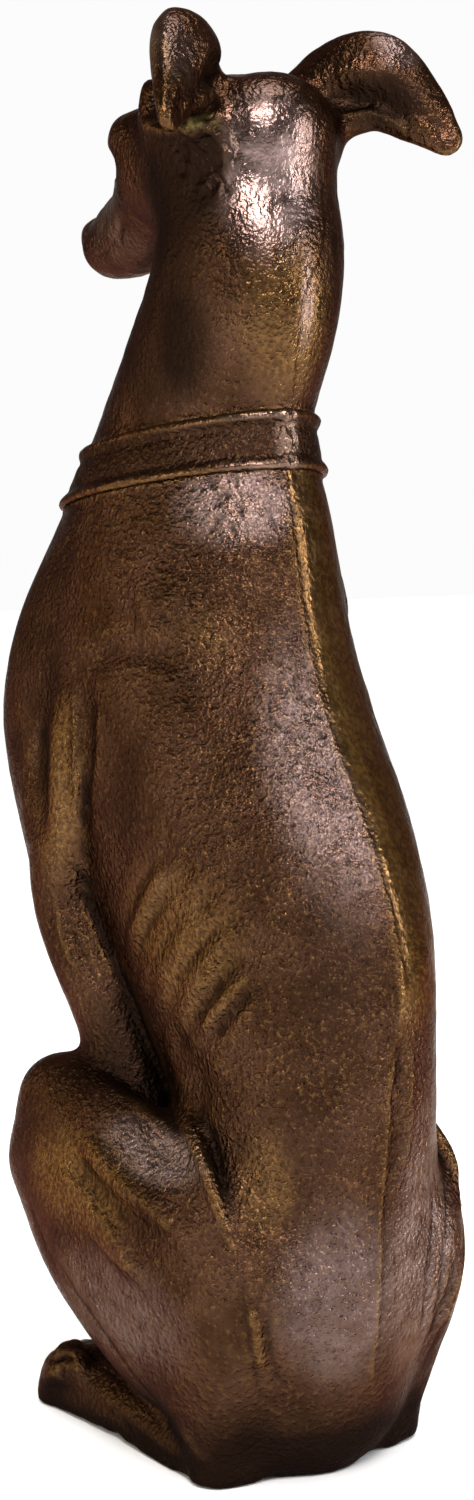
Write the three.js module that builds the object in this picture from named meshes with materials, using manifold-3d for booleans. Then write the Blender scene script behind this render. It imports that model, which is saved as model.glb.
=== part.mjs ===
// A sitting whippet with a collar, cast in iron as one piece.
// Millimetres, +Z up. The dog faces -Y and its left side is +X. The origin lies on the ground,
// midway between the two sides, below the middle of the body.
//
// The animal is described as an anatomist would: a skeleton of named joints, and on it muscles and
// bones that are each an oval section carried along a smooth curve. They flow into one another as
// wax does. The skin of the result is then cut into triangles and thinned to a facetted solid.
import * as THREE from "three";
import Module from "manifold-3d";

// ---------------------------------------------------------------- driving dimensions
const HEIGHT = 700; // ground to the top of the raised ears
const CELL = 3; // spacing of the lattice that finds the skin
const FACETS = 8600; // triangles of the body before the collar is added
const STILL = 0.002; // how firmly the corners keep their places while the skin is thinned

// ---------------------------------------------------------------- forms
const smoothMin = (a, b, blend) => {
  const h = Math.max(blend - Math.abs(a - b), 0) / blend;
  return Math.min(a, b) - h * h * blend * 0.25;
};

const smoothStep = (low, high, v) => {
  const t = Math.max(0, Math.min(1, (v - low) / (high - low)));
  return t * t * (3 - 2 * t);
};

// Distance from the skin of an oval ball with the given radii, for a point given from its centre.
function ovalDistance(u, v, w, ru, rv, rw) {
  const k0 = Math.hypot(u / ru, v / rv, w / rw);
  if (k0 < 1e-6) return -Math.min(ru, rv, rw);
  const k1 = Math.hypot(u / (ru * ru), v / (rv * rv), w / (rw * rw));
  return (k0 * (k0 - 1)) / k1;
}

// A muscle or bone: an oval section carried along a smooth curve through its stations.
// A station is [x, y, z, half width along `across`, half depth at right angles to it, egg], where
// an egg above 0 widens the section towards its depth side. `caps` are the lengths of the round
// ends, as shares of the thinner radius there. A `level` sweep keeps its sections horizontal.
function sweep(stations, { across = [1, 0, 0], caps = [1, 1], spans = 8, level = false } = {}) {
  const line = new THREE.CatmullRomCurve3(stations.map(([x, y, z]) => new THREE.Vector3(x, y, z)));
  const girth = new THREE.CatmullRomCurve3(
    stations.map(([, , , wide, deep, egg = 0]) => new THREE.Vector3(wide, deep, egg)),
  );
  line.curveType = girth.curveType = "catmullrom";
  const count = (stations.length - 1) * spans;
  const nodes = [];
  const box = new THREE.Box3();
  for (let i = 0; i <= count; i++) {
    const centre = line.getPoint(i / count);
    const along = level ? new THREE.Vector3(0, 0, 1) : line.getTangent(i / count);
    const side = new THREE.Vector3(...across);
    side.addScaledVector(along, -along.dot(side)).normalize();
    const deep = new THREE.Vector3().crossVectors(along, side);
    const { x: rs, y: rd, z: egg } = girth.getPoint(i / count);
    nodes.push([...centre, ...along, ...side, ...deep, rs, rd, egg]);
    const reach = Math.max(rs, rd) * (1 + Math.abs(egg));
    box.expandByPoint(centre.clone().addScalar(reach));
    box.expandByPoint(centre.clone().addScalar(-reach));
  }
  const section = (x, y, z, n, m, h, over, cap) => {
    const g = 1 - h;
    const qx = x - (n[0] * g + m[0] * h);
    const qy = y - (n[1] * g + m[1] * h);
    const qz = z - (n[2] * g + m[2] * h);
    const s = qx * (n[6] * g + m[6] * h) + qy * (n[7] * g + m[7] * h) + qz * (n[8] * g + m[8] * h);
    const d = qx * (n[9] * g + m[9] * h) + qy * (n[10] * g + m[10] * h) + qz * (n[11] * g + m[11] * h);
    const rd = n[13] * g + m[13] * h;
    const egg = n[14] * g + m[14] * h;
    const rs = (n[12] * g + m[12] * h) * (1 + egg * Math.max(-1, Math.min(1, d / rd)));
    return ovalDistance(s, d, over, rs, rd, cap * Math.min(rs, rd));
  };
  return {
    box,
    distance(x, y, z) {
      let best = Infinity;
      let before = 0;
      for (let i = 0; i <= count; i++) {
        const n = nodes[i];
        const ahead = (x - n[0]) * n[3] + (y - n[1]) * n[4] + (z - n[2]) * n[5];
        if (i === 0) {
          if (ahead < 0) best = Math.min(best, section(x, y, z, n, n, 0, ahead, caps[0]));
        } else if (before >= 0 && ahead <= 0) {
          const h = before / Math.max(before - ahead, 1e-9);
          best = Math.min(best, section(x, y, z, nodes[i - 1], n, h, 0, 1));
        }
        if (i === count && ahead > 0) best = Math.min(best, section(x, y, z, n, n, 0, ahead, caps[1]));
        before = ahead;
      }
      return best;
    },
  };
}

// An oval ball.
function ball([x0, y0, z0], [rx, ry, rz]) {
  return {
    box: new THREE.Box3(
      new THREE.Vector3(x0 - rx, y0 - ry, z0 - rz),
      new THREE.Vector3(x0 + rx, y0 + ry, z0 + rz),
    ),
    distance: (x, y, z) => ovalDistance(x - x0, y - y0, z - z0, rx, ry, rz),
  };
}

// ---------------------------------------------------------------- the skeleton
// Of the pairs of limbs, these are the joints of the left side.
const SHOULDER = [50, -94, 365];
const ELBOW = [60, -68, 284];
const WRIST = [27, 6, 84];
const FOREPAW = [25, -26, 4];
const HIP = [46, 66, 84];
const KNEE = [68, -64, 153];
const HOCK = [55, 55, 34];
const TOES = [50, -66, 2];
const HEAD = { at: [0, 3, 644], nod: 11 };
const COLLAR = { axis: -30, height: 28, middle: 489, slope: 0.15, thick: 2.6, rim: 1.8, sides: 44 };

// ---------------------------------------------------------------- the anatomy
// The forms of a limb flow together first, and the limb then flows into the body.
const limbs = [];
const limb = (blend) => limbs.push({ blend, parts: [], box: new THREE.Box3() });
function shape(form, blend, sign) {
  const { parts, box } = limbs[limbs.length - 1];
  parts.push({ form, blend, sign });
  if (sign > 0) box.union(form.box);
}
const carvings = [];
const carve = (form, blend) => carvings.push({ form, blend });
const add = (form, blend = 0) => shape(form, blend, 1);
const cut = (form, blend = 0) => shape(form, blend, -1);

// Rump, loins, chest, withers and neck, as level sections: height, y of the back, y of the front,
// half width, egg.
const TRUNK = [
  [-16, 84, 52, 14, 0],
  [0, 84, 44, 24, 0],
  [9, 91, 38, 36, 0],
  [24, 100, 30, 48, 0],
  [61, 113, 15, 57, 0],
  [90, 117, 5, 57, 0.04],
  [133, 120, -8, 58, 0.16],
  [177, 126, -32, 57, 0.2],
  [215, 131, -62, 58, 0.12],
  [243, 133, -86, 61, 0.06],
  [273, 128, -110, 65, 0.05],
  [305, 115, -128, 69, 0.05],
  [333, 98, -140, 72, 0.05],
  [361, 80, -147, 72, 0.03],
  [402, 62, -146, 68, 0],
  [441, 54, -133, 62.5, -0.04],
  [465, 49, -117, 58, -0.06],
  [485, 43, -103, 52.5, -0.08],
  [506, 39, -94, 46.5, -0.08],
  [533, 51, -76, 45.5, -0.07],
  [555, 58, -60, 46, -0.05],
  [577, 59, -43, 46, -0.02],
  [592, 58, -37, 45.5, 0],
  [606, 54, -31, 45, 0],
  [621, 46, -27, 44, 0],
  [636, 37, -24, 43, 0],
];
const trunk = sweep(
  TRUNK.map(([z, back, front, wide, egg]) => [0, (back + front) / 2, z, wide, (back - front) / 2, egg]),
  { level: true, caps: [0.3, 0.6] },
);

function spine() {
  limb(5);
  add(
    sweep([
      [0, 40, 466, 8, 6],
      [0, 45, 441, 9, 8],
      [0, 55, 402, 9, 9],
      [0, 73, 361, 9, 9],
      [0, 91, 333, 9, 9],
      [0, 108, 305, 9, 9],
      [0, 121, 273, 9, 9],
      [0, 126, 243, 8, 8],
      [0, 120, 215, 7, 7],
    ]),
  );
}

function inHead([x, y, z]) {
  const n = THREE.MathUtils.degToRad(HEAD.nod);
  return [
    HEAD.at[0] + x,
    HEAD.at[1] + y * Math.cos(n) - z * Math.sin(n),
    HEAD.at[2] + y * Math.sin(n) + z * Math.cos(n),
  ];
}
const headStation = ([x, y, z, wide, deep]) => [...inHead([x, y, z]), wide, deep];

function head() {
  limb(20);
  add(
    sweep(
      [
        [0, 26, -2, 33, 27],
        [0, 5, -3, 42, 35],
        [0, -25, -2, 44, 35],
        [0, -47, -5, 41, 33],
        [0, -64, -11, 33.5, 28],
        [0, -80, -16, 25.5, 25.5],
        [0, -98, -18, 20.5, 23],
        [0, -113, -19, 18, 20.5],
        [0, -123, -19, 16, 17],
      ].map(headStation),
    ),
  );
  add(ball(inHead([27, -47, 14]), [15, 20, 14]), 9); // brow
  cut(ball(inHead([34, -64, 4]), [7, 10, 6]), 6); // eye socket
  add(ball(inHead([0, -133, -10]), [12, 8, 9]), 5); // nose
}

function ears() {
  limb(8);
  add(
    sweep(
      [
        [28, 9, 655, 20, 14],
        [42, 23, 668, 25, 14.5],
        [56, 36, 673.5, 25, 14.5],
        [70, 50, 660, 18, 9.5],
        [83, 64, 642, 8, 5],
      ],
      { across: [0.3, 0, 1] },
    ),
  );
  cut(
    sweep(
      [
        [26, 26, 658, 6, 5],
        [40, 40, 667, 8, 8],
        [55, 53, 665, 8, 8],
        [68, 63, 653, 6, 6],
        [80, 72, 640, 3, 3],
      ],
      { across: [0.3, 0, 1] },
    ),
    6,
  );
  // the lower rim of the ear's mouth
  limb(6);
  add(sweep([[44, -8, 668, 5, 8], [46, -8, 652, 5, 8], [44, 6, 641, 6, 7], [39, 24, 639, 6, 6]]));
}

function forelegs() {
  // shoulder blade
  limb(4);
  add(ball([16, -24, 424], [43, 66, 38]));
  // shoulder and upper arm
  limb(6);
  add(
    sweep([
      [40, -60, 440, 14, 36],
      [47, -80, 405, 20, 38],
      [...SHOULDER, 22, 35],
      [52, -90, 330, 19, 32],
      [...ELBOW, 14, 22],
    ]),
  );
  add(
    sweep([
      [55, -50, 400, 9, 12],
      [62, -50, 355, 13, 15],
      [63, -53, 318, 12, 13],
      [63, -57, 290, 9, 11],
    ]),
    12,
  );
  // forearm, pastern and paw
  add(
    sweep([
      [61, -66, 292, 14, 18],
      [58, -68, 264, 17, 19],
      [50, -50, 220, 16, 20],
      [39, -30, 168, 14, 18],
      [30, -8, 118, 11.5, 15],
      [...WRIST, 11, 13],
      [26, 4, 46, 10, 12],
      [25, -2, 10, 12, 13],
    ]),
    6,
  );
  add(sweep([[25, 6, 4, 13, 20], [...FOREPAW, 15, 22]]), 5);
  for (const side of [-1.5, -0.5, 0.5, 1.5]) {
    const reach = 4 - 3 * Math.abs(side);
    add(
      sweep([
        [25 + 6 * side, -18 - reach, 18, 5, 8],
        [25 + 7.5 * side, -34 - reach, 13, 5.5, 9],
        [25 + 8 * side, -44 - reach, 2, 5, 9],
      ]),
      2.5,
    );
  }
}

function hindlegs() {
  limb(12);
  add(
    sweep([
      [...HIP, 35, 58],
      [57, 28, 105, 33, 65],
      [64, -16, 126, 28, 58],
      [67, -48, 145, 23, 45],
      [...KNEE, 18, 37],
    ]),
  );
  // calf, and the ham behind it
  add(
    sweep([
      [69, -66, 138, 20, 30],
      [67, -34, 98, 20, 32],
      [62, 8, 68, 20, 32],
      [58, 38, 52, 19, 30],
      [...HOCK, 12, 20],
    ]),
    14,
  );
  add(sweep([[50, 58, 96, 26, 38], [54, 58, 60, 20, 32], [54, 58, 24, 14, 20]]), 12);
  add(ball([68, -59, 168], [19, 26, 22]), 12);
  add(ball([56, 62, 118], [25, 33, 43]), 12);
  add(ball([40, 61, 7], [26, 16, 11]), 10);
  // metatarsus, heel and toes
  add(
    sweep([
      [56, 60, 2, 11, 24],
      [54, 34, 2, 11, 24],
      [52, -20, 2, 13, 26],
      [...TOES, 16.5, 30],
    ]),
    4,
  );
  for (const side of [-1.5, -0.5, 0.5, 1.5]) {
    const reach = 4 - 3 * Math.abs(side);
    add(
      sweep([
        [TOES[0] + 7.5 * side, -54 - reach, 27, 5.5, 9],
        [TOES[0] + 8.5 * side, -72 - reach, 20, 6, 12],
        [TOES[0] + 9 * side, -82 - reach, 2, 5.5, 10],
      ]),
      2.5,
    );
  }
  // the fold of skin from the flank to the thigh
  limb(4);
  add(
    sweep([
      [52, 30, 180, 2, 2],
      [59.5, 44, 174, 4, 4],
      [64.5, 60, 166, 4.5, 4.5],
      [68.5, 75, 155, 4.5, 4.5],
      [69.5, 85, 142.5, 4, 4],
      [68, 92, 130, 2, 2],
    ]),
  );
}

// The folds and furrows that lie across more than one limb.
function furrows() {
  // under the shoulder blade, and behind the upper arm
  carve(
    sweep([
      [70, -40, 388, 2, 2],
      [71, -14, 393, 4.5, 4.5],
      [67, 18, 394, 4.5, 4.5],
      [57, 44, 390, 2, 2],
    ]),
    5,
  );
  carve(
    sweep([
      [73, -34, 386, 4, 4],
      [75, -32, 350, 5, 5],
      [74, -34, 312, 5, 5],
      [69, -40, 285, 4, 4],
    ]),
    3,
  );
  // behind the fold of skin
  carve(
    sweep([
      [57, 50, 182, 1.5, 1.5],
      [59.5, 61, 175, 3.5, 3.5],
      [62, 73, 163.5, 3.5, 3.5],
      [64.5, 83, 152, 3, 3],
      [65, 90, 141, 1.5, 1.5],
    ]),
    3,
  );
}

function tail() {
  limb(6);
  add(sweep([[0, 50, 4, 9, 9], [0, 30, 5, 8, 8], [0, 0, 4, 6, 7], [0, -14, 3, 4, 5]]));
}

limb(0);
add(trunk);
spine();
head();
ears();
forelegs();
hindlegs();
tail();
furrows();

// How far the ribs stand out of the side of the chest.
function ribs(left, y, z) {
  if (left < 30 || z < 195 || z > 325 || y < -25 || y > 110) return 0;
  const along = (z - y) / Math.SQRT2;
  const level = smoothStep(195, 235, z) * (1 - smoothStep(275, 325, z));
  const depth = smoothStep(-25, 25, y) * (1 - smoothStep(60, 110, y));
  return 1.5 * level * depth * Math.cos((2 * Math.PI * (along - 150)) / 17);
}
const beyond = (box, x, y, z) =>
  Math.hypot(
    Math.max(box.min.x - x, 0, x - box.max.x),
    Math.max(box.min.y - y, 0, y - box.max.y),
    Math.max(box.min.z - z, 0, z - box.max.z),
  );

// Distance from the skin of the whole animal, negative inside it.
function skin(x, y, z) {
  const left = Math.abs(x);
  let body = 1e3;
  for (const { parts, blend: join, box } of limbs) {
    if (beyond(box, left, y, z) > join + body + 6) continue;
    let f = 1e3;
    for (const { form, blend, sign } of parts) {
      if (beyond(form.box, left, y, z) > blend + sign * f) continue;
      const d = form.distance(left, y, z);
      f = sign > 0 ? smoothMin(f, d, blend + 1e-6) : -smoothMin(-f, d, blend + 1e-6);
    }
    body = smoothMin(body, f, join + 1e-6);
  }
  for (const { form, blend } of carvings) {
    if (beyond(form.box, left, y, z) > blend - body) continue;
    body = -smoothMin(-body, form.distance(left, y, z), blend);
  }
  return Math.abs(body) < 20 ? body - ribs(left, y, z) : body;
}

// ---------------------------------------------------------------- from the field to triangles
const REACH = new THREE.Box3(new THREE.Vector3(-116, -176, -36), new THREE.Vector3(116, 160, 716));

// Cuts the skin into triangles: each lattice cube near it is split into six tetrahedra.
function skinTriangles() {
  const size = REACH.getSize(new THREE.Vector3()).divideScalar(CELL);
  const [nx, ny, nz] = [Math.ceil(size.x) + 1, Math.ceil(size.y) + 1, Math.ceil(size.z) + 1];
  const value = new Float32Array(nx * ny * nz).fill(NaN);
  const spot = (i, j, k) => [REACH.min.x + i * CELL, REACH.min.y + j * CELL, REACH.min.z + k * CELL];
  const place = (n) => spot(n % nx, Math.floor(n / nx) % ny, Math.floor(n / (nx * ny)));
  const corner = (i, j, k, c) => ((k + ((c >> 2) & 1)) * ny + j + ((c >> 1) & 1)) * nx + i + (c & 1);
  const points = [];
  const faces = [];
  const found = new Map();
  const crossing = (a, b) => {
    const key = Math.min(a, b) * 67108864 + Math.max(a, b);
    if (!found.has(key)) {
      const h = Math.min(0.97, Math.max(0.03, value[a] / (value[a] - value[b])));
      const [p, q] = [place(a), place(b)];
      found.set(key, points.length / 3);
      points.push(...p.map((v, i) => v + (q[i] - v) * h));
    }
    return found.get(key);
  };
  const TETRAHEDRA = [[0, 1, 3, 7], [0, 3, 2, 7], [0, 2, 6, 7], [0, 6, 4, 7], [0, 4, 5, 7], [0, 5, 1, 7]];
  const cutCube = (i, j, k) => {
    let inside = 0;
    for (let c = 0; c < 8; c++) {
      const n = corner(i, j, k, c);
      if (Number.isNaN(value[n])) value[n] = skin(...place(n)) || 1e-6;
      if (value[n] < 0) inside++;
    }
    if (inside === 0 || inside === 8) return;
    for (const tetra of TETRAHEDRA) {
      const n = tetra.map((c) => corner(i, j, k, c));
      const low = n.filter((m) => value[m] < 0);
      const high = n.filter((m) => value[m] >= 0);
      if (!low.length || !high.length) continue;
      // whether the order of the four corners is even or odd says which way a face turns
      const order = [...low, ...high].map((m) => n.indexOf(m));
      let odd = 0;
      for (let a = 0; a < 4; a++) {
        for (let b = a + 1; b < 4; b++) odd ^= order[a] > order[b] ? 1 : 0;
      }
      const face = (a, b, c) => faces.push(...(odd ? [a, c, b] : [a, b, c]));
      if (low.length === 1) face(...high.map((m) => crossing(low[0], m)));
      else if (high.length === 1) face(...low.map((m) => crossing(m, high[0])));
      else {
        const [a, b, c, d] = [0, 1, 2, 3].map((m) => crossing(low[m >> 1], high[m & 1]));
        face(a, b, d);
        face(a, d, c);
      }
    }
  };
  // whole blocks that lie far from the skin are passed over
  const BLOCK = 6;
  const half = (BLOCK * CELL) / 2;
  const cutBlock = (I, J, K) => {
    if (Math.abs(skin(...spot(I, J, K).map((v) => v + half))) > half * 3.2) return;
    for (let k = K; k < Math.min(K + BLOCK, nz - 1); k++) {
      for (let j = J; j < Math.min(J + BLOCK, ny - 1); j++) {
        for (let i = I; i < Math.min(I + BLOCK, nx - 1); i++) cutCube(i, j, k);
      }
    }
  };
  for (let K = 0; K < nz - 1; K += BLOCK) {
    for (let J = 0; J < ny - 1; J += BLOCK) {
      for (let I = 0; I < nx - 1; I += BLOCK) cutBlock(I, J, K);
    }
  }
  return { points, faces };
}

// Slides the corners of a skin within it until its triangles are evenly shaped.
function relax({ points, faces }, rounds) {
  const count = points.length / 3;
  for (let round = 0; round < rounds; round++) {
    const mean = new Float64Array(count * 3);
    const normal = new Float64Array(count * 3);
    const links = new Float64Array(count);
    for (let f = 0; f < faces.length; f += 3) {
      const [a, b, c] = [faces[f] * 3, faces[f + 1] * 3, faces[f + 2] * 3];
      const [ux, uy, uz] = [0, 1, 2].map((i) => points[b + i] - points[a + i]);
      const [vx, vy, vz] = [0, 1, 2].map((i) => points[c + i] - points[a + i]);
      const face = [uy * vz - uz * vy, uz * vx - ux * vz, ux * vy - uy * vx];
      const edges = [[a, b], [b, c], [c, a]];
      for (const [p, q] of edges) {
        links[p / 3]++;
        for (let i = 0; i < 3; i++) {
          mean[p + i] += points[q + i];
          normal[p + i] += face[i];
        }
      }
    }
    for (let v = 0; v < count; v++) {
      const k = v * 3;
      const size = Math.hypot(normal[k], normal[k + 1], normal[k + 2]) || 1;
      const shift = [0, 1, 2].map((i) => mean[k + i] / links[v] - points[k + i]);
      const rise = (shift[0] * normal[k] + shift[1] * normal[k + 1] + shift[2] * normal[k + 2]) / size;
      for (let i = 0; i < 3; i++) points[k + i] += 0.7 * (shift[i] - 0.85 * rise * (normal[k + i] / size));
    }
  }
  return { points, faces };
}

// Keeps the largest shell of a skin, and leaves out specks where two limbs just fail to touch.
function largestShell({ points, faces }) {
  const parent = Array.from({ length: points.length / 3 }, (_, v) => v);
  const rootOf = (v) => {
    while (parent[v] !== v) {
      parent[v] = parent[parent[v]];
      v = parent[v];
    }
    return v;
  };
  for (let f = 0; f < faces.length; f += 3) {
    parent[rootOf(faces[f])] = rootOf(faces[f + 1]);
    parent[rootOf(faces[f + 1])] = rootOf(faces[f + 2]);
  }
  const roots = faces.map(rootOf);
  const sizes = new Map();
  roots.forEach((root) => sizes.set(root, (sizes.get(root) ?? 0) + 1));
  const largest = [...sizes].reduce((a, b) => (b[1] > a[1] ? b : a))[0];
  return { points, faces: faces.filter((_, i) => roots[i] === largest) };
}

// Thins a closed skin to about `target` triangles. The edge that bends the form least goes first;
// no collapse may pinch the skin, fold it over or leave a needle of a triangle.
function thin({ points, faces }, target) {
  const count = points.length / 3;
  const total = faces.length / 3;
  const P = Float64Array.from(points);
  const F = Int32Array.from(faces);
  const Q = new Float64Array(count * 10);
  const ring = Array.from({ length: count }, () => []);
  const version = new Int32Array(count);
  const normalOf = (a, b, c, out) => {
    const [ux, uy, uz] = [P[b] - P[a], P[b + 1] - P[a + 1], P[b + 2] - P[a + 2]];
    const [vx, vy, vz] = [P[c] - P[a], P[c + 1] - P[a + 1], P[c + 2] - P[a + 2]];
    out[0] = uy * vz - uz * vy;
    out[1] = uz * vx - ux * vz;
    out[2] = ux * vy - uy * vx;
    return Math.hypot(out[0], out[1], out[2]);
  };
  const n = [0, 0, 0];
  for (let f = 0; f < total; f++) {
    const [a, b, c] = [F[f * 3], F[f * 3 + 1], F[f * 3 + 2]];
    const twice = normalOf(a * 3, b * 3, c * 3, n) || 1e-9;
    const [nx, ny, nz] = n.map((v) => v / twice);
    const d = -(nx * P[a * 3] + ny * P[a * 3 + 1] + nz * P[a * 3 + 2]);
    const quadric = [nx * nx, nx * ny, nx * nz, nx * d, ny * ny, ny * nz, ny * d, nz * nz, nz * d, d * d];
    for (const v of [a, b, c]) {
      ring[v].push(f);
      const [x, y, z] = [P[v * 3], P[v * 3 + 1], P[v * 3 + 2]];
      const still = [1, 0, 0, -x, 1, 0, -y, 1, -z, x * x + y * y + z * z];
      for (let i = 0; i < 10; i++) Q[v * 10 + i] += (twice / 6) * (quadric[i] + STILL * still[i]);
    }
  }
  const cost = (q, x, y, z) =>
    q[0] * x * x + 2 * q[1] * x * y + 2 * q[2] * x * z + 2 * q[3] * x + q[4] * y * y +
    2 * q[5] * y * z + 2 * q[6] * y + q[7] * z * z + 2 * q[8] * z + q[9];
  const best = (u, v) => {
    const q = [];
    for (let i = 0; i < 10; i++) q.push(Q[u * 10 + i] + Q[v * 10 + i]);
    const [a, b, c, , e, f, , h] = q;
    const [A, B, C] = [e * h - f * f, c * f - b * h, b * f - c * e];
    const det = a * A + b * B + c * C;
    if (!(Math.abs(det) > 1e-12)) return [Infinity, 0, 0, 0];
    const [D, E, G] = [a * h - c * c, b * c - a * f, a * e - b * b];
    const [r, s, t] = [-q[3], -q[6], -q[8]];
    const x = (A * r + B * s + C * t) / det;
    const y = (B * r + D * s + E * t) / det;
    const z = (C * r + E * s + G * t) / det;
    return [cost(q, x, y, z), x, y, z];
  };
  const heap = [];
  const push = (item) => {
    let i = heap.push(item) - 1;
    while (i > 0) {
      const up = (i - 1) >> 1;
      if (heap[up][0] <= item[0]) break;
      heap[i] = heap[up];
      i = up;
    }
    heap[i] = item;
  };
  const pop = () => {
    const top = heap[0];
    const last = heap.pop();
    if (heap.length) {
      let i = 0;
      for (;;) {
        let down = 2 * i + 1;
        if (down >= heap.length) break;
        if (down + 1 < heap.length && heap[down + 1][0] < heap[down][0]) down++;
        if (heap[down][0] >= last[0]) break;
        heap[i] = heap[down];
        i = down;
      }
      heap[i] = last;
    }
    return top;
  };
  const offer = (u, v) => {
    const [c, x, y, z] = best(u, v);
    if (c < Infinity) push([c, u, v, version[u], version[v], x, y, z]);
  };
  const around = (v) => {
    const near = new Set();
    for (const f of ring[v]) F.subarray(f * 3, f * 3 + 3).forEach((w) => near.add(w));
    near.delete(v);
    return near;
  };
  const before = [0, 0, 0];
  const apart = (a, b) => (P[a] - P[b]) ** 2 + (P[a + 1] - P[b + 1]) ** 2 + (P[a + 2] - P[b + 2]) ** 2;
  const longest = (a, b, c) => Math.max(apart(a, b), apart(b, c), apart(c, a));
  const spoils = (v, other, x, y, z) => {
    const [kx, ky, kz] = [P[v * 3], P[v * 3 + 1], P[v * 3 + 2]];
    for (const f of ring[v]) {
      const [a, b, c] = [F[f * 3] * 3, F[f * 3 + 1] * 3, F[f * 3 + 2] * 3];
      if (a === other * 3 || b === other * 3 || c === other * 3) continue;
      const was = normalOf(a, b, c, before);
      const shapeWas = was / longest(a, b, c);
      [P[v * 3], P[v * 3 + 1], P[v * 3 + 2]] = [x, y, z];
      const is = normalOf(a, b, c, n);
      const shapeIs = is / longest(a, b, c);
      [P[v * 3], P[v * 3 + 1], P[v * 3 + 2]] = [kx, ky, kz];
      const turn = before[0] * n[0] + before[1] * n[1] + before[2] * n[2];
      if (turn < 0.3 * was * is) return true;
      if (shapeIs < 0.16 && shapeIs < shapeWas) return true;
    }
    return false;
  };
  for (let k = 0; k < total * 3; k++) {
    const [u, v] = [F[k], F[k % 3 === 2 ? k - 2 : k + 1]];
    if (u < v) offer(u, v);
  }
  let left = total;
  while (left > target && heap.length) {
    const [, u, v, vu, vv, x, y, z] = pop();
    if (version[u] !== vu || version[v] !== vv) continue;
    const [nearU, nearV] = [around(u), around(v)];
    let shared = 0;
    for (const w of nearU) {
      if (nearV.has(w)) shared++;
    }
    if (!nearU.has(v) || shared !== 2 || nearU.size + nearV.size < 10) continue;
    if (spoils(u, v, x, y, z) || spoils(v, u, x, y, z)) continue;
    const gone = ring[v].filter((f) => ring[u].includes(f));
    for (const f of gone) {
      for (const w of F.subarray(f * 3, f * 3 + 3)) {
        if (w !== u && w !== v) ring[w] = ring[w].filter((g) => g !== f);
      }
    }
    for (const f of ring[v]) {
      const at = F.subarray(f * 3, f * 3 + 3).indexOf(v);
      F[f * 3 + at] = u;
    }
    ring[u] = [...ring[u], ...ring[v]].filter((f) => !gone.includes(f));
    ring[v] = [];
    for (const f of gone) F[f * 3] = -1;
    [P[u * 3], P[u * 3 + 1], P[u * 3 + 2]] = [x, y, z];
    for (let i = 0; i < 10; i++) Q[u * 10 + i] += Q[v * 10 + i];
    version[u]++;
    version[v]++;
    left -= gone.length;
    for (const w of around(u)) offer(Math.min(u, w), Math.max(u, w));
  }
  const index = new Map();
  const kept = { points: [], faces: [] };
  for (let f = 0; f < total; f++) {
    if (F[f * 3] < 0) continue;
    for (let i = 0; i < 3; i++) {
      const v = F[f * 3 + i];
      if (!index.has(v)) {
        index.set(v, kept.points.length / 3);
        kept.points.push(P[v * 3], P[v * 3 + 1], P[v * 3 + 2]);
      }
      kept.faces.push(index.get(v));
    }
  }
  return kept;
}

// The collar: a flat band with a rolled rim along both edges, fitted round the neck.
function collar() {
  const half = COLLAR.height / 2;
  const PROFILE = [
    [-half, -4],
    [half, -4],
    [half, COLLAR.thick],
    [half - 2.2, COLLAR.thick + COLLAR.rim],
    [half - 5.4, COLLAR.thick],
    [5.4 - half, COLLAR.thick],
    [2.2 - half, COLLAR.thick + COLLAR.rim],
    [-half, COLLAR.thick],
  ];
  const points = [];
  const faces = [];
  for (let i = 0; i < COLLAR.sides; i++) {
    const turn = (2 * Math.PI * i) / COLLAR.sides;
    const [dx, dy] = [Math.cos(turn), Math.sin(turn)];
    for (const [rise, out] of PROFILE) {
      const spot = (r) => {
        const y = COLLAR.axis + r * dy;
        return [r * dx, y, COLLAR.middle + rise + (y - COLLAR.axis) * COLLAR.slope];
      };
      let [low, high] = [0, 150];
      for (let step = 0; step < 30; step++) {
        const r = (low + high) / 2;
        if (trunk.distance(...spot(r)) < out) low = r;
        else high = r;
      }
      points.push(...spot(low));
    }
    const [m, next] = [PROFILE.length, (i + 1) % COLLAR.sides];
    for (let j = 0; j < m; j++) {
      const [a, b] = [i * m + j, i * m + ((j + 1) % m)];
      const [c, d] = [next * m + j, next * m + ((j + 1) % m)];
      faces.push(a, b, d, a, d, c);
    }
  }
  return { points, faces };
}

// ---------------------------------------------------------------- the casting
const manifold = await Module();
manifold.setup();
const solid = ({ points, faces }) =>
  new manifold.Manifold(
    new manifold.Mesh({
      numProp: 3,
      vertProperties: Float32Array.from(points),
      triVerts: Uint32Array.from(faces),
    }),
  );

const body = thin(largestShell(relax(skinTriangles(), 5)), FACETS);
// no corner may lie so near the ground that the cut there leaves a sliver
for (let i = 2; i < body.points.length; i += 3) {
  const z = body.points[i];
  if (Math.abs(z) < 0.6) body.points[i] = z < 0 ? -0.6 : 0.6;
}
const casting = solid(body).add(solid(collar())).trimByPlane([0, 0, 1], 0);
const mesh = casting.getMesh();

const geometry = new THREE.BufferGeometry();
geometry.setAttribute("position", new THREE.Float32BufferAttribute(mesh.vertProperties, 3));
geometry.setIndex(Array.from(mesh.triVerts));
geometry.computeBoundingBox();
const middle = geometry.boundingBox.getCenter(new THREE.Vector3());
const growth = HEIGHT / geometry.boundingBox.max.z;
geometry.translate(-middle.x, -middle.y, 0);
geometry.scale(growth, growth, growth);
geometry.computeVertexNormals();

const iron = new THREE.MeshStandardMaterial({ color: 0x4a3527, roughness: 0.4, metalness: 0.7 });
iron.name = "patinated cast iron";
const dog = new THREE.Mesh(geometry, iron);
dog.name = "dog";

const statue = new THREE.Group();
statue.name = "dog_statue";
statue.add(dog);

export default statue;
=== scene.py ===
"""A sitting hound with a collar, cast in iron as one piece.

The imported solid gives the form. A copy of its skin is made fine and even, and is then worked over
with the passes of a modelling tool: muscles, ribs, folds, hair, the mould seam and the flaws of
the casting. The finish is a dark brown patina over sand-cast grain.

Tables are in millimetres and Blender is in metres. The dog faces -Y, and its left side is +X.
"""

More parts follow.
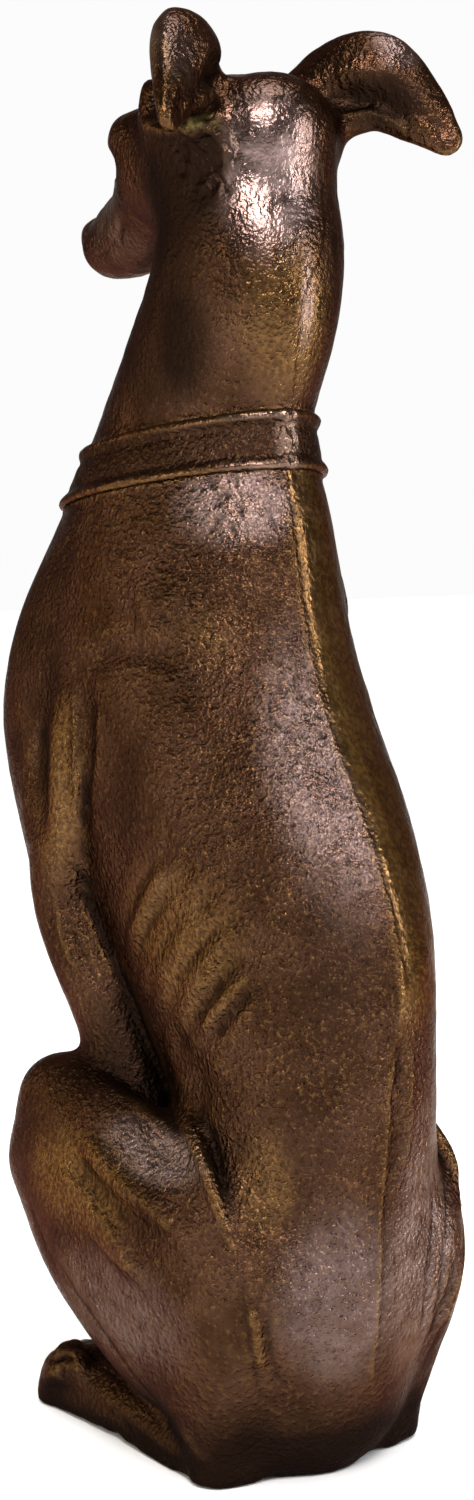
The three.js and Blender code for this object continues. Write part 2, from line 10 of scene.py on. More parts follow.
import itertools
import logging
import math
import time
from dataclasses import dataclass
from enum import Enum
from typing import ClassVar

import bpy
import numpy as np
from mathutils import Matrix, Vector
from mathutils.bvhtree import BVHTree
from mathutils.kdtree import KDTree


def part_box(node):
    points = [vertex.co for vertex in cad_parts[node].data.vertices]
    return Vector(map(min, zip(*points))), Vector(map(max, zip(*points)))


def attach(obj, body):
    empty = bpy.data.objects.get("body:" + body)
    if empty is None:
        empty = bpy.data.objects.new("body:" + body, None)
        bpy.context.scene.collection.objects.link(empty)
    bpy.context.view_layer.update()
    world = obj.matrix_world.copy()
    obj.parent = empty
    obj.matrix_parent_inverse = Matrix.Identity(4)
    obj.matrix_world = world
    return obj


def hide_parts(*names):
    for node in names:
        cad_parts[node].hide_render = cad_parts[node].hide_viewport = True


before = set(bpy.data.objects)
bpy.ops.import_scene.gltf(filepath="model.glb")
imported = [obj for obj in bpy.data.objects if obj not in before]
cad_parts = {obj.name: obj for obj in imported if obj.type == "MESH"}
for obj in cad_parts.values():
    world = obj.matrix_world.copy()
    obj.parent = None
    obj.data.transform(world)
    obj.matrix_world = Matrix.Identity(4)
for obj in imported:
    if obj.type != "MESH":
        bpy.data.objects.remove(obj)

MM = 0.001
log = logging.getLogger("hound")
Spot = tuple[float, float, float]
Colour = tuple[float, float, float]
Zones = tuple[tuple[Spot, Spot, float], ...]


# ---------------------------------------------------------------- noise and curves
LATTICE = 32


def lattice_noise(spots: np.ndarray, size: float | Spot, seed: int) -> np.ndarray:
    """Smooth noise in space.

    Args:
        spots: Points, one a row.
        size: Distance over which the noise changes, or one distance for each axis.
        seed: Which noise.

    Returns:
        A value from -1 to 1 for each point.
    """
    table = np.random.default_rng(seed).uniform(-1.0, 1.0, (LATTICE,) * 3)
    scaled = spots / np.asarray(size)
    cell = np.floor(scaled).astype(int)
    part = scaled - cell
    part = part * part * (3.0 - 2.0 * part)
    total = np.zeros(len(spots))
    for corner in itertools.product((0, 1), repeat=3):
        weight = np.prod(np.where(np.array(corner) == 1, part, 1.0 - part), axis=1)
        i, j, k = ((cell + corner) % LATTICE).T
        total += weight * table[i, j, k]
    return total


def sand_lumps(spots: np.ndarray, coarse: float, fine: float, seed: int) -> np.ndarray:
    """The lumps of a sand casting, as coarse noise with finer noise over it."""
    return lattice_noise(spots, coarse, seed) * 0.4 + lattice_noise(spots, fine, seed + 1) * 0.6


def soft_step(low: float, high: float, values: np.ndarray) -> np.ndarray:
    """0 below `low`, 1 above `high` and a smooth way between them."""
    share = np.clip((values - low) / (high - low), 0.0, 1.0)
    return share * share * (3.0 - 2.0 * share)


def smooth_path(path: tuple[Spot, ...], step: float = 1.5) -> np.ndarray:
    """A curve through the given points.

    Args:
        path: Two or more points.
        step: Distance between the points of the curve.

    Returns:
        The curve's points, one a row.
    """
    points = np.array(path, dtype=float)
    padded = np.vstack([2 * points[0] - points[1], points, 2 * points[-1] - points[-2]])
    made = []
    for a, b, c, d in zip(padded, padded[1:], padded[2:], padded[3:]):
        count = max(2, int(np.linalg.norm(c - b) / step))
        t = np.linspace(0.0, 1.0, count, endpoint=False)[:, None]
        made.append(
            0.5 * (2 * b + (c - a) * t + (2 * a - 5 * b + 4 * c - d) * t**2
                   + (3 * b - a - 3 * c + d) * t**3)
        )
    return np.vstack([*made, points[-1:]])


# ---------------------------------------------------------------- the modelling tool
class Relief(Enum):
    """The section of a stroke."""

    ROUND = "a soft bump or trough"
    CREST = "a narrow crest or cut with sloping sides"
    LEDGE = "high on the left of the path and cut back on its right"


@dataclass(frozen=True)
class Stroke:
    """One pass of the modelling tool over the skin, in millimetres."""

    REACH: ClassVar[float] = 12.0

    path: tuple[Spot, ...]
    width: float
    rise: float
    relief: Relief = Relief.ROUND
    fade: float = 0.3
    both: bool = True

    def mirrored(self) -> "Stroke":
        """The same stroke on the other side of the dog.

        Returns:
            The stroke, which has no mirror image of its own.
        """
        path = tuple((-x, y, z) for x, y, z in self.path)
        if self.relief is Relief.LEDGE:
            path = path[::-1]
        return Stroke(path, self.width, self.rise, self.relief, self.fade, False)


Strokes = tuple[Stroke, ...]


class Skin:
    """The corners of a piece's mesh, in millimetres, as something to model on."""

    def __init__(self, piece: bpy.types.Object) -> None:
        """Reads the corners and edges of a mesh.

        Args:
            piece: The object that has the mesh.
        """
        mesh = piece.data
        self.piece = piece
        self.count = len(mesh.vertices)
        spots = np.empty(self.count * 3)
        mesh.vertices.foreach_get("co", spots)
        self.spots = spots.reshape(-1, 3) / MM
        ends = np.empty(len(mesh.edges) * 2, dtype=np.int32)
        mesh.edges.foreach_get("vertices", ends)
        self.ends = ends.reshape(-1, 2)
        self.links = np.maximum(np.bincount(ends, minlength=self.count), 1)
        self.tree: KDTree | None = None

    def write(self) -> None:
        """Puts the corners back into the mesh."""
        self.piece.data.vertices.foreach_set("co", (self.spots * MM).ravel())
        self.piece.data.update()

    def normals(self) -> np.ndarray:
        """Reads the skin's outward directions.

        Returns:
            A direction for each corner, one a row.
        """
        self.write()
        found = np.empty(self.count * 3)
        self.piece.data.vertex_normals.foreach_get("vector", found)
        return found.reshape(-1, 3)

    def around(self, values: np.ndarray) -> np.ndarray:
        """The mean of `values` over the neighbours of each corner.

        Args:
            values: One row or number for each corner.

        Returns:
            The means, in the same shape.
        """
        a, b = self.ends.T
        columns = values.reshape(self.count, -1).T
        totals = [
            np.bincount(a, weights=column[b], minlength=self.count)
            + np.bincount(b, weights=column[a], minlength=self.count)
            for column in columns
        ]
        return (np.stack(totals, axis=1) / self.links[:, None]).reshape(values.shape)

    def smooth(self, rounds: int) -> None:
        """Evens out the skin without shrinking it.

        Args:
            rounds: How often each corner is drawn towards its neighbours and back.
        """
        for _ in range(rounds):
            for pull in (0.5, -0.52):
                self.spots += pull * (self.around(self.spots) - self.spots)

    def lift(self, heights: np.ndarray) -> None:
        """Moves each corner out by its height."""
        self.spots += heights[:, None] * self.normals()

    def nearest(self, line: np.ndarray, reach: float) -> tuple[np.ndarray, np.ndarray, np.ndarray]:
        """Finds the corners near a curve.

        Args:
            line: The curve's points, one a row.
            reach: How near a corner has to be.

        Returns:
            The corners, the distance of each and the curve's point that each is nearest to.
        """
        gap = np.full(self.count, np.inf)
        place = np.zeros(self.count, dtype=int)
        for start in range(0, len(line), 16):
            part = line[start:start + 16]
            near = np.all(
                (self.spots > part.min(axis=0) - reach) & (self.spots < part.max(axis=0) + reach),
                axis=1,
            ).nonzero()[0]
            if len(near):
                gaps = np.linalg.norm(self.spots[near][:, None] - part[None], axis=2)
                found = gaps.argmin(axis=1)
                least = gaps[np.arange(len(near)), found]
                closer = least < gap[near]
                gap[near[closer]] = least[closer]
                place[near[closer]] = start + found[closer]
        near = (gap < reach).nonzero()[0]
        return near, gap[near], place[near]

    def stroke(self, stroke: Stroke) -> None:
        """Works one stroke into the skin, and its mirror image if it has one.

        Args:
            stroke: The stroke. It does nothing where no skin is within its reach.
        """
        if self.tree is None:
            self.tree = KDTree(self.count)
            for i, spot in enumerate(self.spots):
                self.tree.insert(spot, i)
            self.tree.balance()
        found = [self.tree.find(point) for point in smooth_path(stroke.path)]
        if min(item[2] for item in found) < Stroke.REACH:
            outward = self.normals()
            line = np.array([self.spots[item[1]] for item in found])
            facing = np.array([outward[item[1]] for item in found])
            for _ in range(2):
                line[1:-1] = (line[:-2] + 2 * line[1:-1] + line[2:]) / 4
            near, gap, place = self.nearest(line, stroke.width)
            spots, outward = self.spots[near], outward[near]
            along = place / max(len(line) - 1, 1)
            ends = soft_step(0.0, max(stroke.fade, 1e-3), np.minimum(along, 1 - along))
            share = 1 - gap / stroke.width
            if stroke.relief is Relief.ROUND:
                height = (1 - (1 - share) ** 2) ** 2
            elif stroke.relief is Relief.CREST:
                height = share**2.2
            else:
                left = np.cross(outward, np.gradient(line, axis=0)[place])
                left /= np.maximum(np.linalg.norm(left, axis=1), 1e-6)[:, None]
                side = np.sum((spots - line[place]) * left, axis=1)
                height = share**1.6 * np.tanh(side / 0.7)
                height = np.where(height < 0, 0.7 * height, height)
            front = soft_step(0.0, 0.3, np.sum(outward * facing[place], axis=1))
            shift = stroke.rise * height * ends * front
            self.spots[near] += shift[:, None] * outward
        if stroke.both:
            self.stroke(stroke.mirrored())

    def zone(self, centre: Spot, radii: Spot) -> np.ndarray:
        """A soft oval region.

        Args:
            centre: Its middle.
            radii: Its half widths.

        Returns:
            1 at the middle and 0 outside, for each corner.
        """
        away = np.linalg.norm((self.spots - centre) / radii, axis=1)
        return 1.0 - soft_step(0.35, 1.0, away)

    def hollow(self, rounds: int) -> np.ndarray:
        """How deep each corner lies below the skin around it, in millimetres.

        Args:
            rounds: How far around, as rounds of averaging.

        Returns:
            A depth for each corner, below zero on crests.
        """
        even = self.spots.copy()
        for _ in range(rounds):
            even = self.around(even)
        return np.sum((even - self.spots) * self.normals(), axis=1)

    def attribute(self, name: str, values: np.ndarray) -> None:
        """Stores a number for each corner, which the finish reads by its name."""
        layer = self.piece.data.attributes.new(name, "FLOAT", "POINT")
        layer.data.foreach_set("value", values.astype(np.float32))


# ---------------------------------------------------------------- working in Blender
def pick(piece: bpy.types.Object) -> None:
    """Selects one object alone and makes it active.

    Args:
        piece: The object.
    """
    bpy.ops.object.select_all(action="DESELECT")
    piece.select_set(True)
    bpy.context.view_layer.objects.active = piece


def apply(piece: bpy.types.Object, name: str, kind: str, **settings: object) -> None:
    """Adds a modifier, sets it and applies it.

    Args:
        piece: The object.
        name: The modifier's name.
        kind: The modifier's type.
        settings: Its settings by name.
    """
    pick(piece)
    modifier = piece.modifiers.new(name, kind)
    for setting, value in settings.items():
        setattr(modifier, setting, value)
    bpy.ops.object.modifier_apply(modifier=name)


def copy_of_casting(name: str) -> bpy.types.Object:
    """Copies the solid casting and joins its loose triangles, ready to be refined.

    Args:
        name: What the copy is called.

    Returns:
        The copy.
    """
    piece = bpy.data.objects.new(name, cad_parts["dog"].data.copy())
    bpy.context.scene.collection.objects.link(piece)
    piece.data.materials.clear()
    pick(piece)
    bpy.ops.object.mode_set(mode="EDIT")
    bpy.ops.mesh.select_all(action="SELECT")
    bpy.ops.mesh.remove_doubles(threshold=1e-5)
    bpy.ops.object.mode_set(mode="OBJECT")
    return piece


# ---------------------------------------------------------------- finish

class Board:
    """The node board of one material, wired in few words."""

    def __init__(self, name: str) -> None:
        """Makes a material with a plain shader.

        Args:
            name: What the material is called.
        """
        self.material = bpy.data.materials.new(name)
        self.material.use_nodes = True
        self.tree = self.material.node_tree
        self.shader = self.tree.nodes["Principled BSDF"]
        self.place = self.add("ShaderNodeTexCoord").outputs["Object"]

    def add(self, kind: str, **settings: object) -> bpy.types.Node:
        """Adds a node and sets it.

        Args:
            kind: The node's type.
            settings: Its settings by name.

        Returns:
            The node.
        """
        node = self.tree.nodes.new(kind)
        for name, value in settings.items():
            setattr(node, name, value)
        return node

    def feed(self, socket: bpy.types.NodeSocket, value: object) -> None:
        """Links a value to a socket, or sets the socket to it.

        Args:
            socket: The socket that takes the value.
            value: Another socket, a number or a colour.
        """
        if isinstance(value, bpy.types.NodeSocket):
            self.tree.links.new(value, socket)
        elif isinstance(value, tuple) and len(value) == 3 and socket.type == "RGBA":
            socket.default_value = (*value, 1.0)
        else:
            socket.default_value = value

    def noise(self, size: float, stretch: Spot = (1, 1, 1)) -> bpy.types.NodeSocket:
        """Noise in space.

        Args:
            size: Distance in millimetres over which it changes.
            stretch: How much longer it is along each axis.

        Returns:
            The socket, from 0 to 1.
        """
        mapping = self.add("ShaderNodeMapping")
        self.feed(mapping.inputs["Vector"], self.place)
        mapping.inputs["Scale"].default_value = tuple(1.0 / (size * MM * s) for s in stretch)
        node = self.add("ShaderNodeTexNoise")
        self.feed(node.inputs["Vector"], mapping.outputs["Vector"])
        node.inputs["Scale"].default_value = 1.0
        node.inputs["Detail"].default_value = 2.0
        node.inputs["Roughness"].default_value = 0.55
        return node.outputs["Fac"]

    def stored(self, name: str) -> bpy.types.NodeSocket:
        """The number that the mesh keeps under `name`."""
        return self.add("ShaderNodeAttribute", attribute_name=name).outputs["Fac"]

    def maths(self, kind: str, a: object, b: object = 0.0) -> bpy.types.NodeSocket:
        """Reckons with two numbers or sockets.

        Args:
            kind: What is done with them.
            a: The first.
            b: The second.

        Returns:
            The answer's socket.
        """
        node = self.add("ShaderNodeMath", operation=kind)
        self.feed(node.inputs[0], a)
        self.feed(node.inputs[1], b)
        return node.outputs[0]

    def times(self, a: object, b: object) -> bpy.types.NodeSocket:
        """Multiplies two numbers or sockets."""
        return self.maths("MULTIPLY", a, b)

    def spread(
        self, value: object, low: float, high: float, to: tuple[float, float] = (0, 1)
    ) -> bpy.types.NodeSocket:
        """Maps a range smoothly on another.

        Args:
            value: The socket to map.
            low: Where the range starts.
            high: Where it ends.
            to: The new start and end.

        Returns:
            The mapped socket.
        """
        node = self.add("ShaderNodeMapRange", interpolation_type="SMOOTHSTEP")
        self.feed(node.inputs["Value"], value)
        node.inputs["From Min"].default_value = low
        node.inputs["From Max"].default_value = high
        node.inputs["To Min"].default_value = to[0]
        node.inputs["To Max"].default_value = to[1]
        return node.outputs["Result"]

    def mix(self, share: object, a: object, b: object) -> bpy.types.NodeSocket:
        """Mixes two colours.

        Args:
            share: How much of the second shows.
            a: The first.
            b: The second.

        Returns:
            The mixed colour's socket.
        """
        node = self.add("ShaderNodeMix", data_type="RGBA")
        self.feed(node.inputs[0], share)
        self.feed(node.inputs[6], a)
        self.feed(node.inputs[7], b)
        return node.outputs[2]

    def bump(
        self, height: object, depth: float, strength: object, under: object = None
    ) -> bpy.types.NodeSocket:
        """Bends the light with a fine relief.

        Args:
            height: The relief, from 0 to 1.
            depth: How deep it is, in millimetres.
            strength: How much of it shows.
            under: A relief that it lies on.

        Returns:
            The new normal.
        """
        node = self.add("ShaderNodeBump")
        node.inputs["Distance"].default_value = depth * MM
        self.feed(node.inputs["Strength"], strength)
        self.feed(node.inputs["Height"], height)
        if under is not None:
            self.feed(node.inputs["Normal"], under)
        return node.outputs["Normal"]


@dataclass(frozen=True)
class Patina:
    """Dark brown patina on sand-cast iron, gold and mauve on what stands out, partly wear and partly
    painted highlight, with painted shade in the recesses.

    The mesh stores what the finish reads: "deep" darkens the fine crevices and is painted shade in
    the larger recesses, the shut-in places and on undersides near the ground, "crest" the wear of the
    ridges with a painted highlight on them, "gold" and "blush" are gold and mauve zones, partly patina
    tone and partly painted highlight, "grain" is the sand's roughness, "hair" the strength of the
    brushed hair and "crust" the green-yellow bloom.
    """

    name: str = "patinated_cast_iron"
    umber: Colour = (0.026, 0.0115, 0.0055)
    brown: Colour = (0.047, 0.022, 0.0125)
    gold: Colour = (0.17, 0.092, 0.030)
    mauve: Colour = (0.185, 0.128, 0.116)
    # Near black of the sand's pits, also the colour of the painted shade.
    black_pits_and_shade: Colour = (0.010, 0.005, 0.003)
    bloom: Colour = (0.19, 0.16, 0.055)
    edge: Colour = (0.42, 0.34, 0.29)
    roughness: tuple[float, float] = (0.22, 0.34)
    dull: float = 0.22
    metallic: float = 0.93
    cloud_size: float = 34.0
    patch_size: float = 11.0
    dents: tuple[float, float] = (5.0, 1.4)
    sand: tuple[float, float] = (2.5, 2.1)
    hairs: tuple[float, float] = (2.2, 0.6)
    hair_length: float = 9.0

    def colour(self, board: Board, patch: object, sand: object) -> bpy.types.NodeSocket:
        """Mixes the colours of the patina.

        Args:
            board: The node board.
            patch: Noise in patches.
            sand: Noise of the sand's grain.

        Returns:
            The colour's socket.
        """
        cloud = board.spread(board.noise(self.cloud_size), 0.30, 0.70)
        colour = board.mix(cloud, self.umber, self.brown)
        # Mauve zones: partly a satin tone of the patina, partly painted highlight.
        mauve_and_highlight = board.times(board.stored("mauve_and_highlight"), board.spread(patch, 0, 1, (0.55, 1.0)))
        colour = board.mix(mauve_and_highlight, colour, self.mauve)
        # Gold on the ridges and the gold zones, partly wear and partly painted highlight, broken by the
        # sand's specks.
        wear_and_highlight = board.maths("MAXIMUM", board.stored("gold"), board.stored("crest"))
        speck = board.spread(sand, 0.42, 0.62)
        wear_and_highlight = board.times(wear_and_highlight, board.spread(speck, 0, 1, (0.45, 1.0)))
        flecks = board.times(board.spread(sand, 0.57, 0.66), board.stored("grain"))
        wear_and_highlight = board.maths("MAXIMUM", wear_and_highlight, board.times(flecks, 0.3))
        colour = board.mix(wear_and_highlight, colour, self.gold)
        colour = board.mix(board.times(board.stored("crust"), patch), colour, self.bloom)
        pits = board.times(board.spread(sand, 0.28, 0.44, (1, 0)), board.stored("grain"))
        colour = board.mix(board.times(pits, 0.55), colour, self.black_pits_and_shade)
        # Painted shade: recesses, shut-in places and undersides near the ground go near black.
        return board.mix(board.stored("deep"), colour, self.black_pits_and_shade)

    def material(self) -> bpy.types.Material:
        """Builds the node material.

        Returns:
            The material.
        """
        board = Board(self.name)
        patch = board.spread(board.noise(self.patch_size), 0.28, 0.72)
        sand = board.noise(self.sand[0])
        inputs = board.shader.inputs
        board.feed(inputs["Base Color"], self.colour(board, patch, sand))
        inputs["Metallic"].default_value = self.metallic
        inputs["Specular Tint"].default_value = (*self.edge, 1)
        rough = board.spread(patch, 0, 1, self.roughness)
        rough = board.maths("ADD", rough, board.times(board.stored("deep"), self.dull))
        board.feed(inputs["Roughness"], rough)
        grain = board.stored("grain")
        normal = board.bump(board.noise(self.dents[0]), self.dents[1], board.times(grain, 0.6))
        normal = board.bump(sand, self.sand[1], grain, normal)
        hairs = board.noise(self.hairs[0], (1, 1, self.hair_length))
        normal = board.bump(hairs, self.hairs[1], board.stored("hair"), normal)
        board.feed(inputs["Normal"], normal)
        return board.material


# ---------------------------------------------------------------- the casting
@dataclass(frozen=True)
class Band:
    """The sloping plane through the middle of the collar, in millimetres."""

    at: Spot = (0.0, -23.4, 489.8)
    slope: float = 0.15

    def rise(self, spots: np.ndarray) -> np.ndarray:
        """How high each spot lies above the plane."""
        return spots[:, 2] - self.at[2] - self.slope * (spots[:, 1] - self.at[1])


BAND = Band()
# How far the neighbours of the collar draw in beneath it, so that no cut edge shows.
TUCK = 3.4


@dataclass
class Casting:
    """A part of the animal's skin, refined and modelled.

    Attributes:
        name: The piece's name.
        grid: How fine its mesh is, in millimetres.
        low: Height above the middle of the collar from which the part goes up, if it has one.
        high: Height above it up to which the part goes, if it has one.
        limit: Most triangles that the piece may have.
        even: Rounds of evening out before the forms are worked in.
        lumps: Height of the sand's lumps.
        rays: How many ways each corner looks for what shuts it in.
        off: How far off the skin it looks from.
        reach: How far it looks.
        PAINTED_SHADE: Where painted shade darkens the patina, as middle, half widths and strength.
    """

    name: str
    grid: float
    low: float | None = None
    high: float | None = None
    limit: int = 196_000
    even: int = 10
    lumps: float = 0.28
    rays: int = 8
    off: float = 2.5
    reach: float = 90.0
    PAINTED_SHADE: ClassVar[Zones] = ()

    def cut(self, piece: bpy.types.Object, rise: float, above: bool) -> None:
        """Cuts the casting straight across the neck and closes the cut.

        Args:
            piece: The casting.
            rise: Height of the cut above the middle of the collar.
            above: Whether what lies above the cut goes.
        """
        pick(piece)
        bpy.ops.object.mode_set(mode="EDIT")
        bpy.ops.mesh.select_all(action="SELECT")
        x, y, z = BAND.at
        bpy.ops.mesh.bisect(
            plane_co=(x * MM, y * MM, (z + rise) * MM),
            plane_no=(0.0, -BAND.slope, 1.0),
            use_fill=True,
            clear_outer=above,
            clear_inner=not above,
        )
        bpy.ops.object.mode_set(mode="OBJECT")

    def model(self, skin: Skin) -> None:
        """Works the forms into the skin. Each part has its own.

        Args:
            skin: The part's skin.
        """

    def colour(self, skin: Skin) -> dict[str, np.ndarray]:
        """Lays out the zones of the finish. Each part has its own.

        Args:
            skin: The part's skin.

        Returns:
            A share for each corner, by the name that the finish reads.
        """
        return {}

    def painted(self, skin: Skin, zones: Zones) -> np.ndarray:
        """Adds up soft zones.

        Args:
            skin: The part's skin.
            zones: The middle, half widths and strength of each zone.

        Returns:
            The sum at each corner.
        """
        total = np.zeros(skin.count)
        for centre, radii, share in zones:
            total += share * skin.zone(centre, radii)
        return total

    def dark(self, skin: Skin) -> np.ndarray:
        """How much painted shade darkens the patina, most of all on undersides near the ground.

        Args:
            skin: The part's skin.

        Returns:
            A share for each corner.
        """
        # Painted shade on faces turned down near the ground, darker towards the ground, and in the shade
        # zones.
        down = soft_step(0.1, 0.8, -skin.normals()[:, 2])
        foot = 1 - soft_step(0.0, 75.0, skin.spots[:, 2])
        return 0.45 * foot + 0.5 * down * foot + self.painted(skin, self.PAINTED_SHADE)

    def shade(self, skin: Skin) -> np.ndarray:
        """How shut in the skin is.

        Args:
            skin: The part's skin.

        Returns:
            From 0 in the open to 1 in a closed recess, for each corner.
        """
        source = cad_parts["dog"].data
        corners = [v.co for v in source.vertices]
        tree = BVHTree.FromPolygons(corners, [tuple(p.vertices) for p in source.polygons])
        rays = np.random.default_rng(11).normal(size=(self.rays, 3))
        rays /= np.linalg.norm(rays, axis=1)[:, None]
        normals = skin.normals()
        starts = ((skin.spots + self.off * normals) * MM).tolist()
        reach = self.reach * MM
        shut = np.zeros(skin.count)
        for ray in rays:
            ways = ray + 1.15 * normals
            lands = skin.spots[:, 2] * MM + ways[:, 2] * 0.06 < 0
            hits = [tree.ray_cast(*ray, reach)[0] is not None for ray in zip(starts, ways.tolist())]
            shut += lands | np.array(hits)
        shut /= len(rays)
        for _ in range(4):
            shut = skin.around(shut)
        return shut

    def build(self, material: bpy.types.Material) -> bpy.types.Object:
        """Cuts, refines, models and dresses the part.

        Args:
            material: The finish.

        Returns:
            The piece.
        """
        began = time.time()
        piece = copy_of_casting(self.name)
        apply(piece, "round", "SUBSURF", levels=2, render_levels=2)
        if self.high is not None:
            self.cut(piece, self.high, above=True)
        if self.low is not None:
            self.cut(piece, self.low, above=False)
        apply(piece, "even", "REMESH", mode="VOXEL", voxel_size=self.grid * MM)
        skin = Skin(piece)
        skin.smooth(self.even)
        self.model(skin)
        low, high = (np.array(corner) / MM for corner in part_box("dog"))
        skin.spots = np.clip(skin.spots, low, high)
        skin.write()
        triangles = 2 * len(piece.data.polygons)
        if triangles > self.limit:
            apply(piece, "thin", "DECIMATE", ratio=self.limit / triangles)
        self.dress(piece)
        piece.data.materials.append(material)
        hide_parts("dog")
        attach(piece, "root")
        faces, spent = len(piece.data.polygons), time.time() - began
        log.info("%s: %d faces, %.1f s", piece.name, faces, spent)
        return piece

    def dress(self, piece: bpy.types.Object) -> None:
        """Stores what the finish reads, and smooths the light over the faces.

        Args:
            piece: The modelled part.
        """
        skin = Skin(piece)
        small, large = skin.hollow(3), skin.hollow(28)
        shut = self.shade(skin)
        zones = {
            # Painted shade in the larger recesses and the places shut in by other parts; the fine
            # crevices are darkened too.
            "deep": np.clip(
                soft_step(0.06, 0.35, small) * 0.55
                + soft_step(0.25, 1.6, large) * 0.45
                + soft_step(0.42, 0.95, shut) * 0.9,
                0, 1,
            ),
            # Wear on the ridges, partly a painted highlight, kept off the shut-in places.
            "crest": soft_step(0.05, 0.40, -small) * 0.45 * (1 - soft_step(0.4, 0.8, shut)),
            "grain": np.full(skin.count, 0.6),
            **{name: np.zeros(skin.count) for name in ("gold", "mauve_and_highlight", "hair", "crust")},
            **self.colour(skin),
        }
        # Painted shade on undersides near the ground and in the shade zones.
        zones["deep"] = zones["deep"] + self.dark(skin)
        for name, values in zones.items():
            skin.attribute(name, np.clip(values, 0, 1))
        pick(piece)
        bpy.ops.object.shade_smooth()
        piece.data.materials.clear()


